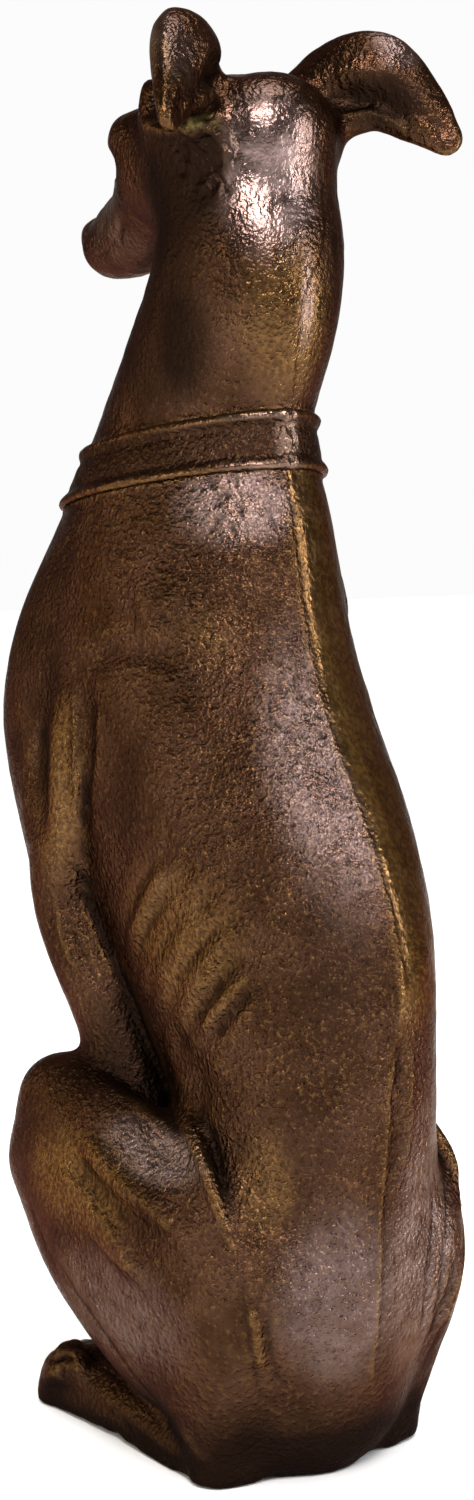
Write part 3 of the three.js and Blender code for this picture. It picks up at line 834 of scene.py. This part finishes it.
@dataclass
class Body(Casting):
    """The body, legs and feet, from the ground up to under the collar."""

    # Painted shade on the lower forearm, the rump, the shoulder and along the ground.
    PAINTED_SHADE: ClassVar[Zones] = (
        ((46, -18, 195), (26, 40, 56), 0.75),
        ((24, 118, 262), (22, 34, 60), 0.42),
        ((32, 112, 176), (22, 26, 34), 0.3),
        ((66, -70, 395), (26, 46, 60), 0.35),
        ((72, 10, 345), (14, 30, 60), 0.2),
        ((0, 30, -4), (120, 170, 44), 0.6),
    )
    # Mauve zones, partly a satin tone of the patina and partly painted highlight, below the collar, on
    # the back, thigh, rump and right haunch.
    MAUVE_AND_HIGHLIGHT: ClassVar[Zones] = (
        ((22, 40, 470), (40, 40, 26), 0.75),
        ((14, 100, 345), (32, 60, 110), 0.65),
        ((76, 45, 162), (16, 52, 20), 0.85),
        ((24, 124, 96), (46, 26, 60), 0.45),
        ((-34, 118, 120), (36, 40, 110), 0.7),
        ((85, 25, 80), (30, 70, 40), 0.4),
    )
    # Gold zones, partly gold rub and partly painted highlight, on the ribs, thigh, upper arm, seam,
    # shoulder blade, foot and buttock.
    GOLD_AND_HIGHLIGHT: ClassVar[Zones] = (
        ((60, 45, 262), (26, 60, 52), 0.55),
        ((90, 0, 140), (16, 60, 34), 0.75),
        ((75, -45, 330), (14, 30, 66), 0.6),
        ((-6, 100, 350), (9, 90, 130), 0.7),
        ((50, 62, 410), (24, 40, 26), 0.4),
        ((66, 10, 16), (14, 70, 16), 0.5),
        ((52, 104, 155), (20, 18, 34), 0.5),
    )
    THIGH: ClassVar[Strokes] = (
        Stroke(((91, -24, 145), (92, -1, 132), (91, 21, 120), (89, 48, 107), (84, 72, 97)), 10, 3.3),
        Stroke(((89, -19, 155), (90, 6, 143), (89, 28, 133), (86, 57, 120)), 9, -2.3),
        Stroke(((87, -14, 163), (87, 9, 155), (86, 31, 146), (84, 63, 136), (78, 88, 124)), 9, 3.6),
        Stroke(((78, 4, 174), (77, 18, 170), (76, 43, 162), (75, 67, 153), (74, 86, 142)), 13, -1.6),
        Stroke(((70, -12, 182), (66, 18, 178), (67, 50, 167), (73, 78, 156)), 5, 1.0),
        Stroke(((75, 4, 176), (68, 9, 179), (67, 18, 177)), 3.5, -0.9, Relief.CREST),
        Stroke(((78, 12, 171), (73, 21, 173), (69, 30, 173)), 3.5, -0.9, Relief.CREST),
        Stroke(
            ((91, -30, 105), (89, -11, 84), (86, 12, 67), (78, 36, 44), (68, 56, 21)),
            4, -1.3, Relief.CREST,
        ),
        Stroke(((92, -49, 124), (91, -37, 104), (88, -17, 82)), 4, -0.8, Relief.CREST),
        Stroke(((91, -28, 116), (89, -8, 95), (86, 16, 78), (80, 38, 58)), 9, 1.0),
        Stroke(((64, 57, 175), (70, 74, 165), (73, 89, 152), (72, 97, 140), (69, 101, 131)), 4, 1.0),
        Stroke(((57, 61, 177), (59, 73, 166), (63, 84, 154), (66, 94, 143)), 5, -2.0, Relief.CREST),
        Stroke(((71, 97, 134), (69, 100, 128), (65, 102, 124)), 3, 1.0, Relief.CREST),
        Stroke(((74, 95, 128), (70, 100, 124), (66, 103, 121)), 3, 0.9, Relief.CREST),
        Stroke(((52, 101, 171), (50, 104, 152), (54, 105, 136)), 16, 1.2),
    )
    RUMP: ClassVar[Strokes] = (
        Stroke(((65, 108, 104), (63, 109, 92), (60, 107, 80), (54, 103, 63)), 8, 1.9),
        Stroke(
            ((67, 103, 124), (67, 107, 108), (65, 108, 88), (57, 104, 63), (46, 98, 40)),
            5, -1.2, Relief.CREST,
        ),
        Stroke(((60, 111, 112), (56, 111, 88), (47, 106, 65), (36, 103, 43)), 6, -1.1),
        Stroke(
            ((-32, 122, 163), (-40, 114, 135), (-37, 116, 107), (-36, 113, 81), (-35, 107, 54)),
            5, -1.1, Relief.CREST, both=False,
        ),
        Stroke(
            ((-67, 86, 155), (-57, 104, 135), (-48, 115, 109), (-48, 110, 78), (-48, 100, 53)),
            5, -1.3, Relief.CREST, both=False,
        ),
    )
    SEAM: ClassVar[Strokes] = (
        Stroke(
            (
                (-2, 141, 237), (1, 137, 274), (2, 125, 306), (2, 108, 334), (2, 90, 362),
                (2, 80, 382), (2, 66, 422), (3, 57, 460), (3, 51, 481),
            ),
            9, 1.15, Relief.LEDGE, 0.08, False,
        ),
        Stroke(
            (
                (-3, 114, 43), (-1, 122, 70), (0, 126, 125), (1, 132, 175), (2, 135, 194),
                (1, 138, 214), (-2, 140, 234),
            ),
            6, 0.9, Relief.LEDGE, 0.15, False,
        ),
        Stroke(
            ((-4, 129, 149), (-4, 132, 169), (-4, 134, 189), (-2, 137, 208), (-1, 140, 228)),
            6, -1.3, Relief.ROUND, 0.2, False,
        ),
        Stroke(
            ((-12, 128, 152), (-12, 132, 177), (-10, 135, 202), (-7, 139, 227)),
            4, 0.8, Relief.CREST, 0.3, False,
        ),
    )
    SHOULDER: ClassVar[Strokes] = (
        Stroke(((61, 4, 414), (55, 20, 419), (48, 33, 414)), 24, 2.2),
        Stroke(((68, -25, 394), (66, 0, 400), (59, 21, 398), (50, 40, 393)), 10, -2.0),
        Stroke(
            ((67, -26, 391), (71, -20, 374), (73, -18, 349), (69, -25, 324), (64, -33, 297)),
            9, -2.4,
        ),
        Stroke(
            ((68, -35, 387), (72, -31, 363), (71, -31, 333), (68, -38, 300)),
            4.5, 1.8, Relief.CREST,
        ),
        Stroke(((72, -46, 377), (76, -45, 353), (75, -47, 322), (74, -50, 297)), 9, 1.0),
        Stroke(((69, -61, 371), (68, -67, 345), (71, -63, 320), (76, -56, 296)), 10, -1.0),
        Stroke(((71, -78, 354), (71, -80, 329), (73, -76, 303)), 10, 1.3),
        Stroke(((74, -45, 291), (69, -39, 289), (62, -39, 282), (57, -39, 275)), 4, -1.3, Relief.CREST),
        Stroke(((73, -49, 278), (71, -49, 260), (69, -45, 245), (65, -35, 229)), 5, 1.2, Relief.CREST),
        Stroke(((71, -46, 270), (67, -42, 255), (64, -35, 241), (58, -26, 221)), 4, -1.3, Relief.CREST),
        Stroke(((65, -42, 278), (59, -40, 260), (55, -31, 241), (47, -20, 216)), 4, 1.2, Relief.CREST),
        Stroke(((69, -2, 375), (71, 9, 347), (71, 7, 317), (65, -9, 285)), 20, -1.3),
    )
    RIBS: ClassVar[Strokes] = (
        Stroke(((58, -4, 248), (66, 19, 272), (67, 35, 289), (66, 44, 301)), 8, 1.8),
        Stroke(((57, 15, 233), (61, 38, 254), (61, 55, 271), (59, 65, 282)), 7, 2.1),
        Stroke(((58, 38, 230), (59, 57, 247), (57, 74, 264), (54, 86, 275)), 7, 2.0),
        Stroke(((59, 56, 218), (58, 72, 233), (54, 87, 249), (51, 96, 259)), 6, 1.7),
        Stroke(((57, 68, 211), (55, 80, 222), (51, 92, 236), (48, 101, 244)), 6, 1.4),
        Stroke(((59, 8, 240), (65, 35, 264), (64, 55, 284), (63, 62, 290)), 7, -1.2),
        Stroke(((60, 30, 231), (62, 49, 250), (60, 66, 267), (58, 77, 277)), 6, -0.8),
        Stroke(((59, 47, 223), (59, 64, 239), (56, 82, 257), (52, 91, 266)), 6, -1.0),
        Stroke(((58, 62, 214), (57, 75, 227), (53, 90, 243), (50, 98, 250)), 6, -0.8),
        Stroke(((57, 26, 216), (58, 46, 204), (58, 59, 192), (58, 69, 182)), 16, -2.4),
        Stroke(((59, 66, 222), (57, 70, 213), (57, 76, 202)), 11, 1.2),
    )
    FOOT: ClassVar[Strokes] = (
        Stroke(((66, -45, 24), (63, -25, 20), (64, 4, 17), (66, 33, 12), (68, 58, 8)), 6, 1.4),
        Stroke(((58, -47, 34), (55, -27, 28), (59, 6, 24), (63, 35, 17)), 5, -1.3, Relief.CREST),
        Stroke(((70, -72, 14), (70, -64, 20), (68, -54, 24)), 8, 2.6),
        Stroke(((62, -66, 27), (57, -62, 33), (54, -57, 35)), 7, 2.4),
        Stroke(((69, -66, 24), (66, -56, 30), (60, -44, 28)), 4, -3.2, Relief.CREST),
        Stroke(((56, -56, 33), (56, -50, 35), (54, -39, 30)), 4, -2.0, Relief.CREST),
        Stroke(((72, 61, 30), (68, 68, 19), (64, 76, 11)), 6, 1.5),
    )

    def model(self, skin: Skin) -> None:
        """Works in the muscles, ribs, folds, mould seam and rough back.

        Args:
            skin: The body's skin.
        """
        for stroke in (*self.THIGH, *self.RUMP, *self.SHOULDER, *self.RIBS, *self.FOOT):
            skin.stroke(stroke)
        skin.smooth(2)
        back = soft_step(0.0, 60.0, skin.spots[:, 1]) * soft_step(190.0, 260.0, skin.spots[:, 2])
        skin.lift(self.lumps * sand_lumps(skin.spots, 15.0, 6.0, 3) * (0.5 + 0.9 * back))
        pits = soft_step(0.18, 0.7, lattice_noise(skin.spots, 4.2, 5))
        rough = np.maximum(
            skin.zone((26, 38, 462), (34, 40, 30)), skin.zone((18, 86, 370), (34, 50, 52)) * 0.6
        )
        skin.lift(-1.0 * pits * rough)
        for stroke in self.SEAM:
            skin.stroke(stroke)
        tuck = soft_step(-15.2, -13.4, BAND.rise(skin.spots))
        skin.lift(-TUCK * tuck)

    def colour(self, skin: Skin) -> dict[str, np.ndarray]:
        """Lays gold on the ridges and mauve on the open planes, partly as patina and partly as painted
        highlight, roughest on the back.

        Args:
            skin: The body's skin.

        Returns:
            A share for each corner, by the name that the finish reads.
        """
        x, y, z = skin.spots.T
        back = soft_step(20.0, 90.0, y) * soft_step(60.0, 260.0, z)
        # A smoother band on the right of the back beside the seam, with less grain and gold that is
        # partly patina and partly painted highlight.
        smooth = (1 - soft_step(0.0, 4.0, x)) * soft_step(-50.0, -30.0, x) * soft_step(0.0, 30.0, y)
        smooth = smooth * soft_step(215.0, 245.0, z)
        return {
            "mauve_and_highlight": self.painted(skin, self.MAUVE_AND_HIGHLIGHT) * (1 - 0.8 * smooth),
            "gold": self.painted(skin, self.GOLD_AND_HIGHLIGHT) * 0.8 + 0.5 * smooth,
            "grain": (1 - 0.75 * smooth)
            * (0.62 + 0.38 * back + 0.2 * lattice_noise(skin.spots, 30.0, 9)),
            "hair": 0.12 * soft_step(280.0, 420.0, z) * (1 - back),
        }


@dataclass
class Head(Casting):
    """The neck and head, from inside the collar upwards."""

    calm: int = 90
    swell: float = 1.8
    strands: float = 0.16
    EAR: ClassVar[tuple[Spot, Spot]] = ((50, 52, 676), (20, 24, 40))
    EAR_SHIFT: ClassVar[Spot] = (-3.28, 2.28, 0.0)
    NAPE: ClassVar[tuple[Spot, Spot]] = ((4, 44, 632), (60, 52, 66))
    RAGGED: ClassVar[tuple[Spot, Spot]] = ((40, 36, 636), (20, 24, 30))
    SEAM: ClassVar[Strokes] = (
        Stroke(
            ((-2, 48, 515), (4, 64, 552), (0, 66, 575), (-9, 64, 590), (-15, 55, 622)),
            9, 0.8, Relief.LEDGE, 0.15, False,
        ),
    )
    # Painted shade on the left of the neck, beside the seam, in the ears and in the hollow under the
    # left ear.
    PAINTED_SHADE: ClassVar[Zones] = (
        ((43, 18, 620), (22, 46, 50), 0.95),
        ((44, -4, 552), (24, 50, 62), 0.7),
        ((44, 28, 545), (18, 28, 54), 0.5),
        ((-54, 54, 664), (36, 28, 20), 0.9),
        ((50, 42, 668), (16, 26, 26), 0.75),
        ((-14, 56, 600), (10, 20, 50), 0.4),
        ((40, 38, 630), (12, 18, 24), 0.7),
    )
    # Gold on the back of the neck and the left ear's facet, partly patina and partly painted highlight.
    GOLD_AND_HIGHLIGHT: ClassVar[Zones] = (
        ((6, 58, 556), (34, 30, 52), 0.45),
        ((80, 50, 672), (8, 26, 30), 0.4),
    )
    EARS: ClassVar[Strokes] = (
        Stroke(((32, 36, 668), (44, 44, 673), (57, 53, 671), (69, 62, 660), (79, 69, 648)), 11, 3.0),
        Stroke(((32, 42, 664), (43, 49, 666), (56, 58, 662), (68, 65, 652)), 5, -2.4),
        Stroke(((37, 44, 655), (54, 52, 662), (67, 62, 654), (79, 72, 642)), 5, 1.6),
    )
    CRUST: ClassVar[Strokes] = (
        Stroke(
            ((50, -4, 652), (51, 16, 647), (44, 34, 645), (35, 43, 646)),
            5, 2.4, Relief.ROUND, 0.2, False,
        ),
        Stroke(
            ((45, 32, 640), (39, 38, 632), (34, 43, 622), (31, 47, 612)),
            7, -2.4, Relief.CREST, 0.3, False,
        ),
        Stroke(((38, 34, 648), (33, 42, 638), (31, 45, 628)), 4, 1.2, Relief.CREST, 0.3, False),
    )
    FACE: ClassVar[Strokes] = (
        Stroke(
            ((12, -112, 596), (15, -100, 596), (18, -88, 597), (21, -77, 600), (24, -66, 605)),
            3.0, -0.8, Relief.CREST,
        ),
        Stroke(((24, -72, 600), (28, -62, 606), (29, -54, 614)), 5, -1.2),
        Stroke(((26, -60, 641), (30, -54, 643), (34, -46, 642)), 5, 0.5),
        Stroke(((27, -62, 632), (31, -55, 631), (35, -47, 633)), 4, 1.0),
    )

    def model(self, skin: Skin) -> None:
        """Works in the skull, ears, face and hair.

        Args:
            skin: The head's skin.
        """
        skin.spots += skin.zone(*self.EAR)[:, None] * np.array(self.EAR_SHIFT)
        nape = skin.zone(*self.NAPE)
        for _ in range(self.calm):
            skin.spots += 0.6 * nape[:, None] * (skin.around(skin.spots) - skin.spots)
        skin.lift(self.swell * nape)
        skin.lift(self.lumps * sand_lumps(skin.spots, 12.0, 5.0, 6))
        skin.lift(self.strands * lattice_noise(skin.spots, (3.2, 3.2, 26.0), 8))
        for stroke in (*self.EARS, *self.FACE, *self.CRUST, *self.SEAM):
            skin.stroke(stroke)
        skin.lift(1.6 * skin.zone(*self.RAGGED) * lattice_noise(skin.spots, 3.6, 21))
        tuck = 1 - soft_step(13.4, 15.2, BAND.rise(skin.spots))
        skin.lift(-TUCK * tuck)

    def colour(self, skin: Skin) -> dict[str, np.ndarray]:
        """Lays mauve on the skull and ears and gold on the neck, partly as satin patina and partly as
        painted highlight, and hair all over.

        Args:
            skin: The head's skin.

        Returns:
            A share for each corner, by the name that the finish reads.
        """
        ears = soft_step(48.0, 60.0, np.abs(skin.spots[:, 0]))
        # Mauve, partly a satin tone and partly painted highlight, on the skull, the face, the ear tops,
        # the left ear's facet and a streak on the neck.
        mauve_and_highlight = (
            skin.zone((14, 52, 625), (30, 40, 52))
            + 0.7 * skin.zone((0, -70, 630), (40, 70, 50))
            + 0.8 * ears * skin.zone((-52, 40, 692), (40, 50, 18))
            + 0.7 * skin.zone((75, 45, 672), (20, 30, 36))
            + 0.8 * skin.zone((0, 60, 566), (6, 20, 30))
        )
        return {
            "mauve_and_highlight": mauve_and_highlight,
            "gold": self.painted(skin, self.GOLD_AND_HIGHLIGHT),
            "grain": 0.45 - 0.2 * np.minimum(1, skin.zone((14, 52, 630), (34, 40, 50)) * 1.5),
            "hair": 0.32 * (1 - 0.7 * ears),
            "crust": 0.9 * skin.zone((44, 34, 648), (14, 22, 6)),
        }


@dataclass
class Collar(Casting):
    """The broad collar with its two rolled rims.

    Attributes:
        rim: Place, half width and height of each rim, from the middle of the collar.
        groove: Place, half width and depth of the groove beside it.
        JOINT: The middle and half widths of the rough joint of the mould.
    """

    rim: Spot = (11.2, 3.0, 0.7)
    groove: Spot = (6.6, 1.9, 0.6)
    JOINT: ClassVar[tuple[Spot, Spot]] = ((0, 47, 502), (9, 14, 22))

    def model(self, skin: Skin) -> None:
        """Works in the rims, the dents and the rough joint of the mould.

        Args:
            skin: The collar's skin.
        """
        skin.lift(self.lumps * sand_lumps(skin.spots, 12.0, 5.0, 12))
        away = np.abs(BAND.rise(skin.spots))
        outer = soft_step(0.1, 0.6, np.hypot(*skin.normals()[:, :2].T))
        rim, groove = (
            height * np.exp(-(((away - at) / half) ** 2)) for at, half, height in (self.rim, self.groove)
        )
        skin.lift(outer * (rim - groove) * (1 + 0.3 * lattice_noise(skin.spots, 14.0, 22)))
        joint = skin.zone(*self.JOINT)
        skin.lift(joint * (1.2 + 2.2 * lattice_noise(skin.spots, (3.2, 3.2, 5.0), 14)))

    def colour(self, skin: Skin) -> dict[str, np.ndarray]:
        """Lays a darker tone between the rims, and gold and mauve on them and on the rough joint, partly
        as wear and partly as painted highlight.

        Args:
            skin: The collar's skin.

        Returns:
            A share for each corner, by the name that the finish reads.
        """
        rise = np.abs(BAND.rise(skin.spots))
        rims = soft_step(9.5, 11.5, rise)
        joint = skin.zone(*self.JOINT)
        return {
            "grain": 0.75 - 0.45 * rims,
            "deep": 0.45 * (1 - rims) * (1 - joint),
            # Gold and mauve on the rims and the joint: partly wear, partly painted highlight.
            "gold": 0.5 * rims * skin.zone((24, 40, 500), (26, 30, 20)) + 0.4 * joint,
            "mauve_and_highlight": 0.6 * rims * skin.zone((14, 48, 500), (34, 24, 30)) + joint,
        }


# ---------------------------------------------------------------- studio
@dataclass
class Studio:
    """Pale floor and backdrop, soft lights and the camera."""

    eye: Spot = (755.2, 1085.1, 485.2)
    turn: float = 35.0
    dip: float = 5.99
    lens: float = 63.6
    pale: Colour = (0.97, 0.97, 0.97)
    ground: float = 14.0
    paper: tuple[Colour, Colour] = ((0.80, 0.80, 0.80), (0.84, 0.84, 0.84))
    room: Colour = (0.96, 0.97, 1.0)
    glow: float = 0.45
    gloom: float = 0.035
    wash: float = 3.6

    def ahead(self) -> Vector:
        """Works out where the camera looks.

        Returns:
            The direction.
        """
        turn, dip = math.radians(self.turn), math.radians(self.dip)
        level = Vector((-math.sin(turn), -math.cos(turn), 0.0)) * math.cos(dip)
        return level + Vector((0.0, 0.0, -math.sin(dip)))

    def camera(self) -> None:
        """Stands the camera behind the dog, to its left."""
        bpy.ops.object.camera_add(location=Vector(self.eye) * MM)
        camera = bpy.context.object
        camera.name = "camera"
        camera.rotation_mode = "QUATERNION"
        camera.rotation_quaternion = self.ahead().to_track_quat("-Z", "Y")
        camera.data.lens = self.lens
        camera.data.sensor_width = 36.0
        camera.data.clip_start = 0.05
        bpy.context.scene.camera = camera

    def floor(self) -> None:
        """Lays a wide pale floor."""
        bpy.ops.mesh.primitive_plane_add(size=self.ground, location=(0, 0, 0))
        floor = bpy.context.object
        floor.name = "floor"
        board = Board("pale_floor")
        shades = board.mix(board.noise(300.0), *self.paper)
        board.feed(board.shader.inputs["Base Color"], shades)
        board.shader.inputs["Roughness"].default_value = 0.8
        board.shader.inputs["Specular IOR Level"].default_value = 0.1
        floor.data.materials.append(board.material)

    def backdrop(self) -> None:
        """Lights the room: bright behind the dog, dim on the near side, and pale to the eye."""
        world = bpy.data.worlds.new("studio")
        world.use_nodes = True
        tree = world.node_tree
        nodes, links = tree.nodes, tree.links
        place = nodes.new("ShaderNodeTexCoord")
        facing = nodes.new("ShaderNodeVectorMath")
        facing.operation = "DOT_PRODUCT"
        links.new(place.outputs["Generated"], facing.inputs[0])
        facing.inputs[1].default_value = self.ahead()
        share = nodes.new("ShaderNodeMapRange")
        share.interpolation_type = "SMOOTHSTEP"
        share.inputs["From Min"].default_value = -0.05
        share.inputs["From Max"].default_value = 0.55
        share.inputs["To Min"].default_value = self.gloom
        share.inputs["To Max"].default_value = self.glow
        links.new(facing.outputs["Value"], share.inputs["Value"])
        room = nodes["Background"]
        room.inputs["Color"].default_value = (*self.room, 1)
        links.new(share.outputs["Result"], room.inputs["Strength"])
        seen = nodes.new("ShaderNodeBackground")
        seen.inputs["Color"].default_value = (*self.pale, 1)
        path = nodes.new("ShaderNodeLightPath")
        blend = nodes.new("ShaderNodeMixShader")
        links.new(path.outputs["Is Camera Ray"], blend.inputs["Fac"])
        links.new(room.outputs["Background"], blend.inputs[1])
        links.new(seen.outputs["Background"], blend.inputs[2])
        links.new(blend.outputs["Shader"], nodes["World Output"].inputs["Surface"])
        bpy.context.scene.world = world

    def light(
        self,
        name: str,
        spot: Spot,
        size: tuple[float, float],
        power: float,
        tint: Colour = (1, 1, 1),
    ) -> None:
        """Hangs one soft light that faces the middle of the dog.

        Args:
            name: Its name.
            spot: Its place in metres.
            size: Its width and height in metres.
            power: Its power in watts.
            tint: Its colour.
        """
        bpy.ops.object.light_add(type="AREA", location=spot)
        lamp = bpy.context.object
        lamp.name = name
        lamp.data.shape = "RECTANGLE"
        lamp.data.size, lamp.data.size_y = size
        lamp.data.energy = power
        lamp.data.color = tint
        lamp.rotation_mode = "QUATERNION"
        lamp.rotation_quaternion = (Vector((0, 0, 0.35)) - Vector(spot)).to_track_quat("-Z", "Y")

    def wash_floor(self) -> None:
        """Lights the floor evenly, with a broad light that the iron doesn't mirror."""
        bpy.ops.object.light_add(type="SUN", location=(0, 0, 3))
        lamp = bpy.context.object
        lamp.name = "floor_wash"
        lamp.data.energy = self.wash
        lamp.data.angle = math.radians(60)
        lamp.visible_glossy = False

    def build(self) -> None:
        """Makes the whole studio."""
        bpy.context.scene.view_settings.view_transform = "Standard"
        self.camera()
        self.floor()
        self.backdrop()
        self.light("left_strip", (1.66, 0.2, 0.35), (0.18, 1.5), 17, (1.0, 0.97, 0.90))
        self.light("window", (0.6, 1.3, 1.45), (0.65, 0.6), 42, (1.0, 0.96, 0.95))
        self.light("left_window", (1.2, -1.1, 0.75), (0.5, 1.0), 8, (1.0, 0.86, 0.62))
        self.light("right_strip", (-0.95, 1.35, 0.6), (0.14, 1.3), 26, (0.97, 0.98, 1.0))
        self.light("overhead", (-0.1, 0.3, 2.2), (0.8, 0.8), 20)
        self.wash_floor()


def main() -> None:
    """Builds the hound and its studio, and reports each piece."""
    logging.basicConfig(level=logging.INFO, format="%(name)s: %(message)s")
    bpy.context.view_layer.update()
    Studio().build()
    iron = Patina().material()
    for part in (
        Body("hound_body", grid=1.6, high=-9.0),
        Collar("hound_collar", grid=1.0, low=-14.3, high=14.3),
        Head("hound_head", grid=1.25, low=9.0),
    ):
        part.build(iron)


if __name__ == "__main__":
    main()
